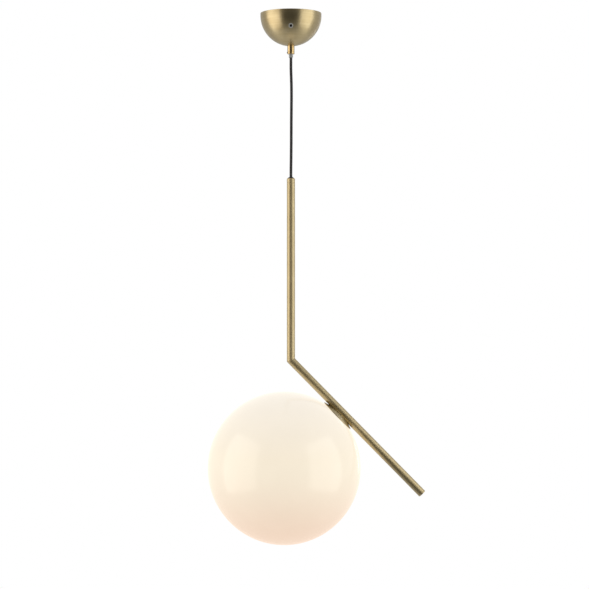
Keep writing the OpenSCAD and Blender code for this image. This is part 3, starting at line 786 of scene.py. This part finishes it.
class PENDANT_OT_stage(bpy.types.Operator):
    """Camera, floor, softboxes and the room's light"""

    bl_idname = "pendant.stage"
    bl_label = "Stage"

    def execute(self, context):
        stage = context.scene.pendant.stage
        lens = bpy.data.cameras.new("camera")
        lens.lens = stage.lens
        lens.sensor_width = 36
        lens.clip_end = 50
        camera = bpy.data.objects.new("camera", lens)
        camera.location = stage.eye
        camera.rotation_euler = (math.pi / 2 + stage.tilt, 0, 0)
        context.scene.collection.objects.link(camera)
        context.scene.camera = camera
        context.scene.view_settings.view_transform = "Standard"

        rim = 96
        edge = 0.02 / MM
        radius, height = stage.floor_r / MM, stage.floor_z / MM
        outline = [(0, height), (radius * 0.5, height), (radius - edge, height), (radius, height - edge)]
        floor = lathe("floor", outline, rim, False)
        m = blank(bpy.data.materials, "pale_floor")
        place = add(m, "TexCoord").outputs["Object"]
        cloud = add(m, "TexNoise", {"Vector": place, "Scale": 2, "Detail": 2}).outputs[0]
        pair = {0: cloud, 6: linear(stage.floor_colour), 7: linear("#F8F7F5")}
        tint = add(m, "Mix", pair, data_type="RGBA").outputs[2]
        surface = add(m, "BsdfPrincipled", {"Base Color": tint, "Roughness": 0.7})
        add(m, "OutputMaterial", {0: surface.outputs[0]})
        floor.data.materials.append(m)
        floor.visible_glossy = False

        middle = Vector((0, 0, -0.55))
        # Name, angle from the front towards +X, distance, width, height, power, warmth
        boxes = [
            ("softbox_left", -71, 2.3, 2.6, 3.0, stage.softbox_left, "#FFF6EA"),
            ("softbox_right", 65, 2.3, 2.4, 3.0, stage.softbox_right, "#FFFDF6"),
            ("strip_behind", 149, 2.6, 0.14, 1.3, stage.strip, "#FFFFFF"),
        ]
        for name, turn, far, wide, tall, power, colour in boxes:
            light = bpy.data.lights.new(name, "AREA")
            light.shape = "RECTANGLE"
            light.size, light.size_y = wide, tall
            light.energy = power
            light.color = linear(colour)[:3]
            holder = bpy.data.objects.new(name, light)
            a = math.radians(turn)
            holder.location = middle + far * Vector((math.sin(a), -math.cos(a), 0))
            holder.rotation_euler = (middle - holder.location).to_track_quat("-Z", "Y").to_euler()
            holder.visible_camera = False
            context.scene.collection.objects.link(holder)

        room = blank(bpy.data.worlds, "room")
        way = add(room, "SeparateXYZ", {0: add(room, "TexCoord").outputs["Generated"]}).outputs
        turn = {0: way[1], 1: -0.85, 2: 0.1, 3: stage.room_front, 4: stage.room_behind}
        depth = add(room, "MapRange", turn, interpolation_type="SMOOTHSTEP").outputs[0]
        above = add(room, "MapRange", {0: way[2], 1: 0, 2: 1, 3: 0, 4: stage.room_above}).outputs[0]
        below = add(room, "MapRange", {0: way[2], 1: -0.4, 2: -1, 3: 0, 4: stage.room_below}).outputs[0]
        lower = add(room, "Math", {0: depth, 1: below}, operation="ADD").outputs[0]
        level = add(room, "Math", {0: lower, 1: above}, operation="ADD").outputs[0]
        # The eye sees plain white, and the pieces are lit by a room that is dark in front
        seen = add(room, "Background", {"Color": (1, 1, 1, 1), "Strength": 1}).outputs[0]
        lit = add(room, "Background", {"Color": linear("#FBFAF6"), "Strength": level}).outputs[0]
        ray = add(room, "LightPath").outputs["Is Camera Ray"]
        both = add(room, "MixShader", {0: ray, 1: lit, 2: seen})
        add(room, "OutputWorld", {0: both.outputs[0]})
        context.scene.world = room
        return {"FINISHED"}


class PENDANT_OT_cord(bpy.types.Operator):
    """Cord from the canopy's grip to the stem, in two stretches that meet between the cord's two pivots"""

    bl_idname = "pendant.cord"
    bl_label = "Cord"

    def execute(self, context):
        sides = context.scene.pendant.plastic.sides
        join = (PIVOT_FRONT + PIVOT_SIDE) / 2
        top = smooth_route([(0, 0, CORD_TOP), (0, 0, -70), (0, 0, join - 0.4)], 1)
        root = round_bar("cord_root", top, CORD_R, sides)
        fit_out(root, "cord_sheath", None, "cord_top", "cord_neck")
        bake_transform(root)
        route = [(0, 0, join)] + [(x, y, CORD_START + z) for x, y, z in CORD_ROUTE]
        hang = round_bar("cord_hanging", smooth_route(route, 1.5), CORD_R, sides)
        fit_out(hang, "cord_sheath", None, "cord")
        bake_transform(hang)
        dress("cord_sheath", "cord_bottom")
        return {"FINISHED"}


class PENDANT_OT_canopy(bpy.types.Operator):
    """Spun half-ball canopy, with its side bushes and grub screws"""

    bl_idname = "pendant.canopy"
    bl_label = "Canopy"

    def execute(self, context):
        hole = THREAD_R + GAP
        inner = CANOPY_R - CANOPY_WALL
        outline = [(inner, 0), (CANOPY_R, 0)]
        outline += arc(CANOPY_R, 0, -level(CANOPY_R, hole), 72, -CANOPY_LIP)
        outline += arc(inner, -level(inner, hole), 0, 72, -CANOPY_LIP)
        shell = lathe("canopy_shell", softened(outline, 0.45), 192)
        low, high = corners("canopy_bushes")
        cut = half_width("canopy_bushes") + 0.02
        for side in (-30, 30):
            pierce(shell, (low.x + high.x) / 2, (low.z + high.z) / 2, cut, side)
        fit_out(shell, "satin_brass", "canopy", "canopy")
        dress("satin_nickel", "canopy_bushes")
        dress("black_steel", "canopy_grub_screws")
        return {"FINISHED"}


class PENDANT_OT_grip(bpy.types.Operator):
    """Cord grip below the canopy: collar, clear sleeve, set screw, washer, nut and earth tag"""

    bl_idname = "pendant.grip"
    bl_label = "Cord Grip"

    def execute(self, context):
        seat = -CANOPY_LIP - ball_h(CANOPY_R, COLLAR_R)
        neck = -CANOPY_LIP - ball_h(CANOPY_R, THREAD_R)
        socket, step = SLEEVE_R + GAP, COLLAR_BOTTOM + SLEEVE_IN
        outline = [
            (socket, COLLAR_BOTTOM, 0.3), (COLLAR_R, COLLAR_BOTTOM, 0.9), (COLLAR_R, seat, 0.15),
            (THREAD_R, neck, 0), (THREAD_R, COLLAR_TOP, 0.4), (CORD_BORE, COLLAR_TOP, 0.2),
            (CORD_BORE, step, 0), (socket, step, 0),
        ]
        collar = lathe("grip_collar", softened(outline), 96)
        fit_out(collar, "polished_brass", "canopy", "gland_collar")
        outline = [
            (CORD_BORE, SLEEVE_BOTTOM, 0.3), (SLEEVE_R, SLEEVE_BOTTOM, 0.4), (SLEEVE_R, SLEEVE_TOP, 0.2),
            (CORD_BORE, SLEEVE_TOP, 0.2),
        ]
        sleeve = lathe("grip_sleeve", softened(outline), 64)
        fit_out(sleeve, "clear_plastic", "canopy", "gland_sleeve")
        dress("polished_brass", "gland_nut", "earth_tag")
        dress("bright_steel", "gland_set_screw")
        dress("zinc_steel", "gland_washer")
        return {"FINISHED"}


class PENDANT_OT_ceiling(bpy.types.Operator):
    """Ceiling bracket, and the terminal block with its wires in the canopy"""

    bl_idname = "pendant.ceiling"
    bl_label = "Ceiling Fixings"

    def execute(self, context):
        dress("zinc_steel", "ceiling_bracket")
        dress("white_plastic", "terminal_block")
        dress("bright_steel", "terminal_screws")
        dress("brown_insulation", "core_live", "lead_live")
        dress("blue_insulation", "core_neutral", "lead_neutral")
        dress("earth_insulation", "core_earth", "earth_lead", "lead_earth")
        return {"FINISHED"}


class PENDANT_OT_stem(bpy.types.Operator):
    """Stem and arm of drawn tube, mitred at the bend, with the cord's bush, the cap and the end cap"""

    bl_idname = "pendant.stem"
    bl_label = "Stem And Arm"

    def execute(self, context):
        dome = (TUBE_BORE**2 + BUSH_H**2) / (2 * BUSH_H)
        outline = arc(dome, level(dome, CORD_BORE), level(dome, TUBE_BORE), 24, STEM_TOP + BUSH_H - dome)
        outline += [(SHANK_R, STEM_TOP), (SHANK_R, SHANK_BOTTOM), (CORD_BORE, SHANK_BOTTOM)]
        bush = lathe("stem_bush_dome", softened(outline, 0.25), 96)
        fit_out(bush, "black_plastic", "pendant", "stem_bush")

        edge, spigot, hole = 0.8, TUBE_BORE - GAP, SHANK_R + GAP
        outline = [
            (CORD_BORE, SPIGOT_BOTTOM), (spigot, SPIGOT_BOTTOM), (spigot, STEM_CAP_BOTTOM, 0),
            (TUBE_R, STEM_CAP_BOTTOM, 0.25), (TUBE_R, STEM_TOP - edge, 0.15), (TUBE_R - edge, STEM_TOP, 0.15),
            (hole, STEM_TOP, 0.2), (hole, SHANK_BOTTOM, 0), (CORD_BORE, SHANK_BOTTOM, 0),
        ]
        cap = lathe("stem_cap_turned", softened(outline), 128)
        rim = (STEM_TOP - edge - 0.1) * MM
        fit_out(cap, "satin_brass_tube", "pendant", "stem_cap", edge="polished_brass", above=rim)

        stem = tube("stem", TUBE_R, TUBE_BORE, BEND_Z, STEM_CAP_BOTTOM, MITRE)
        fit_out(stem, "satin_brass_tube", "pendant", "stem_tube")
        shoulder = ARM_LEN - ARM_END_T
        arm = tube("arm", TUBE_R, TUBE_BORE, 0, shoulder, -MITRE, ON_ARM)
        fit_out(arm, "satin_brass_tube", "pendant", "arm_tube")

        ease, plug = 0.5, shoulder - ARM_PLUG
        outline = [
            (0, ARM_LEN), (TUBE_R - ease, ARM_LEN, 0.15), (TUBE_R, ARM_LEN - ease, 0.15),
            (TUBE_R, shoulder, 0.15), (spigot, shoulder, 0), (spigot, plug), (0, plug),
        ]
        end = lathe("arm_end", softened(outline, loop=False), 128, False, ON_ARM)
        fit_out(end, "satin_brass", "pendant", "arm_end_cap")
        dress("polished_brass", "cord_stop")
        return {"FINISHED"}


class PENDANT_OT_fitter(bpy.types.Operator):
    """Shallow cap brazed under the arm, with the nipple, clip plate and spring clips that hold the globe"""

    bl_idname = "pendant.fitter"
    bl_label = "Fitter"

    def execute(self, context):
        ball, height = FITTER_BALL_R, FITTER_BALL_H
        inner, hole = ball - FITTER_WALL, THREAD_R + GAP
        outline = arc(ball, level(ball, FITTER_R), level(ball, hole), 28, height)
        outline += arc(inner, level(inner, hole), level(inner, FITTER_R), 28, height)
        cap = lathe("fitter_dish", softened(outline, 0.35), 160, True, ON_GLOBE)
        fit_out(cap, "satin_brass", "pendant", "fitter_cap")

        # The line where the arm sinks into the cap, filled by the braze
        seam = TUBE_R - GAP
        half = []
        for k in range(-24, 25):
            turn = math.radians(58) * k / 24
            y = seam * math.sin(turn)
            h = ARM_H - seam * math.cos(turn)
            reach = ball**2 - y**2 - (h - height) ** 2
            if reach > 0:
                half.append((math.sqrt(reach), y, h))
        loop = half + [(-x, y, h) for x, y, h in reversed(half)]
        bead = round_bar("fitter_braze", loop, 0.25, 8, True, ON_GLOBE)
        fit_out(bead, "satin_brass_tube", "pendant")
        dress("polished_brass", "nipple", "nipple_nuts")
        dress("zinc_steel", "clip_plate")
        dress("bright_steel", "globe_clips")
        return {"FINISHED"}


class PENDANT_OT_lampholder(bpy.types.Operator):
    """Lampholder: bell cap, fluted sleeve, ceramic base, threaded shell and centre contact"""

    bl_idname = "pendant.lampholder"
    bl_label = "Lampholder"

    def execute(self, context):
        inside, neck, hole = HOLDER_R - HOLDER_WALL, THREAD_R + 2.5, THREAD_R + GAP
        top = NIPPLE_BOTTOM + HOLDER_NECK
        outline = [
            (hole, top), (neck, top, 0.8), (neck, NIPPLE_BOTTOM, 2), (HOLDER_R, SHOULDER, 2.5),
            (HOLDER_R, SKIRT_BOTTOM, 0.5), (inside, SKIRT_BOTTOM), (inside, SHOULDER - HOLDER_WALL),
            (hole, NIPPLE_BOTTOM - HOLDER_WALL),
        ]
        cap = lathe("holder_cap", softened(outline, 0.4, 5), 128, True, ON_GLOBE)
        fit_out(cap, "black_phenolic", "pendant", "lampholder_cap")
        upper, bore, waist = inside - GAP, SHELL_BORE + 0.55, HOLDER_R - 0.02
        foot, band = HOLDER_BOTTOM + 3, SKIRT_BOTTOM - 6
        outline = [
            (bore, HOLDER_BOTTOM), (HOLDER_R, HOLDER_BOTTOM, 0.8), (HOLDER_R, foot, 0.3),
            (waist, foot + 0.4), (waist, band, 0.5), (upper, band, 0.2),
            (upper, HOLDER_SLEEVE_TOP), (bore, HOLDER_SLEEVE_TOP),
        ]
        flutes = {"flutes": 30, "flute_depth": 0.45, "flute_r": HOLDER_R - 0.3}
        sleeve = lathe("holder_sleeve", softened(outline), 240, True, ON_GLOBE, **flutes)
        fit_out(sleeve, "black_phenolic", "pendant", "lampholder_sleeve")
        low = HOLDER_BOTTOM + 1
        crest = SHELL_BORE + 0.5
        shell = screwed("holder_shell", crest, 0.35, 0.15, THREAD_PITCH, low, HOLDER_SLEEVE_TOP, ON_GLOBE)
        fit_out(shell, "polished_brass", "pendant", "lampholder_shell")
        dress("glazed_ceramic", "lampholder_base")
        dress("polished_brass", "centre_contact")
        return {"FINISHED"}


class PENDANT_OT_globe(bpy.types.Operator):
    """Blown opal globe with the metal ring cemented in its mouth"""

    bl_idname = "pendant.globe"
    bl_label = "Globe"

    def execute(self, context):
        inner = GLOBE_R - GLASS_WALL
        outside = arc(GLOBE_R, level(GLOBE_R, MOUTH_R), -90, 120)
        inside = arc(inner, -90, level(inner, MOUTH_R), 120)
        # The glass's cut edge at the mouth, melted round
        rim = [inside[-2], (*inside[-1], 1.2), (*outside[0], 1.2), outside[1]]
        rim = softened(rim, loop=False, steps=6)[1:-1]
        glass = lathe("globe_opal", rim + outside[1:] + inside[:-1] + rim[:1], 256, False, ON_GLOBE)
        fit_out(glass, "opal_glass", "globe", "globe_glass")
        lip = RING_LIP_TOP - RING_LIP_H
        outline = [
            (RING_BORE, RING_BOTTOM, 0.5), (RING_R, RING_BOTTOM, 0.4), (RING_R, lip, 0.1),
            (RING_LIP_R, lip, 0.3), (RING_LIP_R, RING_LIP_TOP, 0.1), (RING_R, RING_LIP_TOP, 0.1),
            (RING_R, RING_TOP, 0.3), (RING_BORE, RING_TOP, 0.5),
        ]
        ring = lathe("mouth_ring", softened(outline), 160, True, ON_GLOBE)
        fit_out(ring, "ring_aluminium", "globe", "globe_ring")
        return {"FINISHED"}


class PENDANT_OT_lamp(bpy.types.Operator):
    """Lamp: frosted ball, rolled screw cap and centre contact"""

    bl_idname = "pendant.lamp"
    bl_label = "Lamp"

    def execute(self, context):
        neck = LAMP_CAP_R - 0.2
        shoulder = 0.85 * LAMP_R
        start = LAMP_BALL + ball_h(LAMP_R, shoulder)
        outline = arc(LAMP_R, -90, level(LAMP_R, shoulder), 48, LAMP_BALL)
        for k in range(1, 13):
            t = k / 12
            ease = t * t * (3 - 2 * t)
            radius = shoulder + (neck - shoulder) * (0.6 * t + 0.4 * ease)
            outline.append((radius, start + (LAMP_NECK - start) * t))
        outline += [(neck - 0.4, LAMP_NECK + 0.2), (neck - 0.4, LAMP_NECK + 4)]
        ball = lathe("lamp_ball", outline, 128, False, ON_GLOBE)
        fit_out(ball, "frosted_glass", "lamp", "lamp_bulb")
        cap = screwed(
            "lamp_screw_cap", LAMP_CAP_R, 0.75, 0.3, THREAD_PITCH, LAMP_NECK, LAMP_CAP_TOP, ON_GLOBE
        )
        fit_out(cap, "nickel", "lamp", "lamp_cap")
        button = 4.5
        outline = [
            (0, LAMP_TOP), (button, LAMP_TOP, 0.4), (button, LAMP_TOP - 1, 0.2),
            (LAMP_CAP_R - 0.9, LAMP_CAP_TOP + 0.1, 0.5), (LAMP_CAP_R - 1.2, LAMP_CAP_TOP - 0.1, 0),
            (0, LAMP_CAP_TOP - 0.1),
        ]
        tip = lathe("lamp_tip", softened(outline, loop=False), 96, False, ON_GLOBE)
        fit_out(tip, "black_plastic", "lamp", "lamp_contact", edge="nickel", above=(LAMP_TOP - 1.1) * MM)
        return {"FINISHED"}


class PENDANT_PT_pieces(bpy.types.Panel):
    """The pendant's pieces and settings"""

    bl_idname = "PENDANT_PT_pieces"
    bl_label = "Pendant Ceiling Light"
    bl_space_type = "VIEW_3D"
    bl_region_type = "UI"
    bl_category = "Pendant"

    def draw(self, context):
        for operator in OPERATORS:
            self.layout.operator(operator.bl_idname)
        pendant = context.scene.pendant
        for group in (pendant.stage, pendant.metal, pendant.glass, pendant.plastic):
            column = self.layout.column()
            for key in group.__annotations__:
                column.prop(group, key)


GROUPS = (StageSettings, MetalSettings, GlassSettings, PlasticSettings, PendantSettings)
OPERATORS = (
    PENDANT_OT_stage,
    PENDANT_OT_cord,
    PENDANT_OT_canopy,
    PENDANT_OT_grip,
    PENDANT_OT_ceiling,
    PENDANT_OT_stem,
    PENDANT_OT_fitter,
    PENDANT_OT_lampholder,
    PENDANT_OT_globe,
    PENDANT_OT_lamp,
)
CLASSES = GROUPS + OPERATORS + (PENDANT_PT_pieces,)


def register():
    for item in CLASSES:
        bpy.utils.register_class(item)
    bpy.types.Scene.pendant = PointerProperty(type=PendantSettings)


def unregister():
    del bpy.types.Scene.pendant
    for item in reversed(CLASSES):
        bpy.utils.unregister_class(item)


def main():
    register()
    bpy.ops.pendant.stage()
    bpy.ops.pendant.cord()
    bpy.ops.pendant.canopy()
    bpy.ops.pendant.grip()
    bpy.ops.pendant.ceiling()
    bpy.ops.pendant.stem()
    bpy.ops.pendant.fitter()
    bpy.ops.pendant.lampholder()
    bpy.ops.pendant.globe()
    bpy.ops.pendant.lamp()


if __name__ == "__main__":
    main()
